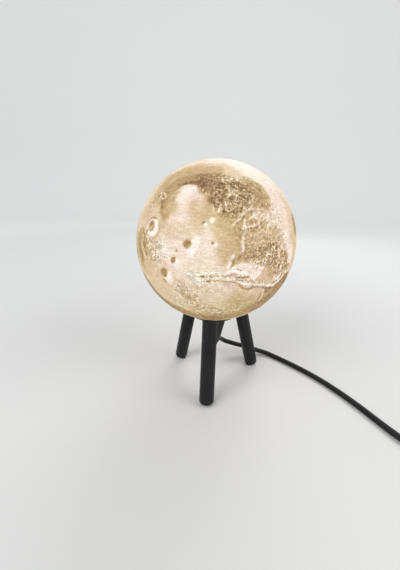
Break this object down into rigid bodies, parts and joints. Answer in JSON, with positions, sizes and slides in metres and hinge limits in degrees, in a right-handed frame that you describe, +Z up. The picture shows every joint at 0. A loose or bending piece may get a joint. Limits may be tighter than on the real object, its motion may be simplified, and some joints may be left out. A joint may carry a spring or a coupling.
{
  "type": "planet lamp",
  "caption": "Table lamp with a lit planet globe resting on a three-legged stand, a bulb in a screw lampholder, and a mains lead with an in-line switch and plug.",
  "frame": {"origin": "on the table, under the centre of the globe and of the ring of feet", "axes": "+Z up, -Y towards the front leg, +X to the lamp's right seen from the front"},
  "size_m": [0.4676, 0.183, 0.24],
  "materials": {
    "globe_print": "3-D printed translucent shell, lit from inside, with the planet's relief",
    "stand_black": "matte black print",
    "leg_black": "matte black rod with a rounded tip",
    "pad_rubber": "matte foot pad",
    "screw_steel": "zinc-plated screws",
    "holder_black": "moulded thermoset, slightly satin",
    "holder_core": "unglazed white core",
    "contact_brass": "stamped brass",
    "wire_live": "brown insulation",
    "wire_neutral": "blue insulation",
    "cord_pvc": "round black sheath, soft and slightly satin",
    "relief_rubber": "soft black moulding",
    "bulb_metal": "plated screw cap and tip",
    "bulb_glass_black": "black insulating ring",
    "bulb_plastic": "white bulb housing",
    "bulb_opal": "opal dome, lit",
    "board_white": "white board with light-emitting chips",
    "switch_black": "fine-textured moulding",
    "rocker_black": "smooth moulding",
    "tie_black": "hook-and-loop strap",
    "pin_nickel": "nickel-plated pins"
  },
  "bodies": {
    "stand": {"stand_hub": "stand_black", "leg_front": "leg_black", "leg_left": "leg_black", "leg_right": "leg_black", "foot_pads": "pad_rubber", "leg_screws": "screw_steel", "holder_skirt": "holder_black", "holder_cap": "holder_black", "holder_insert": "holder_core", "screw_sleeve": "contact_brass", "centre_contact": "contact_brass", "terminal_screws": "screw_steel", "live_wire": "wire_live", "neutral_wire": "wire_neutral", "cord_grip": "holder_black", "strain_relief": "relief_rubber", "cord_run": "cord_pvc", "cord_lead": "cord_pvc", "cord_coil": "cord_pvc", "cord_tail": "cord_pvc", "coil_tie": "tie_black", "switch_base": "switch_black", "switch_cover": "switch_black", "switch_screws": "screw_steel", "switch_contacts": "contact_brass", "plug_body": "relief_rubber", "plug_pins": "pin_nickel", "plug_sleeves": "switch_black"},
    "globe": {"globe_shell": "globe_print"},
    "bulb": {"bulb_cap": "bulb_metal", "bulb_insulator": "bulb_glass_black", "bulb_tip": "bulb_metal", "bulb_body": "bulb_plastic", "bulb_dome": "bulb_opal", "led_board": "board_white"},
    "rocker": {"switch_rocker": "rocker_black"}
  },
  "joints": [
    {"name": "globe_lift", "type": "slide", "parent": "stand", "child": "globe", "axis": [0, 0, 1], "range_m": [0, 0.11]},
    {"name": "bulb_unscrew", "type": "slide", "parent": "stand", "child": "bulb", "axis": [0, 0, 1], "range_m": [0, 0.03]},
    {"name": "rocker_tip", "type": "hinge", "parent": "stand", "child": "rocker", "pos_m": [0.2315, -0.087, 0.0122], "axis": [-0.1736, -0.9848, 0], "range_deg": [0, 16]}
  ]
}
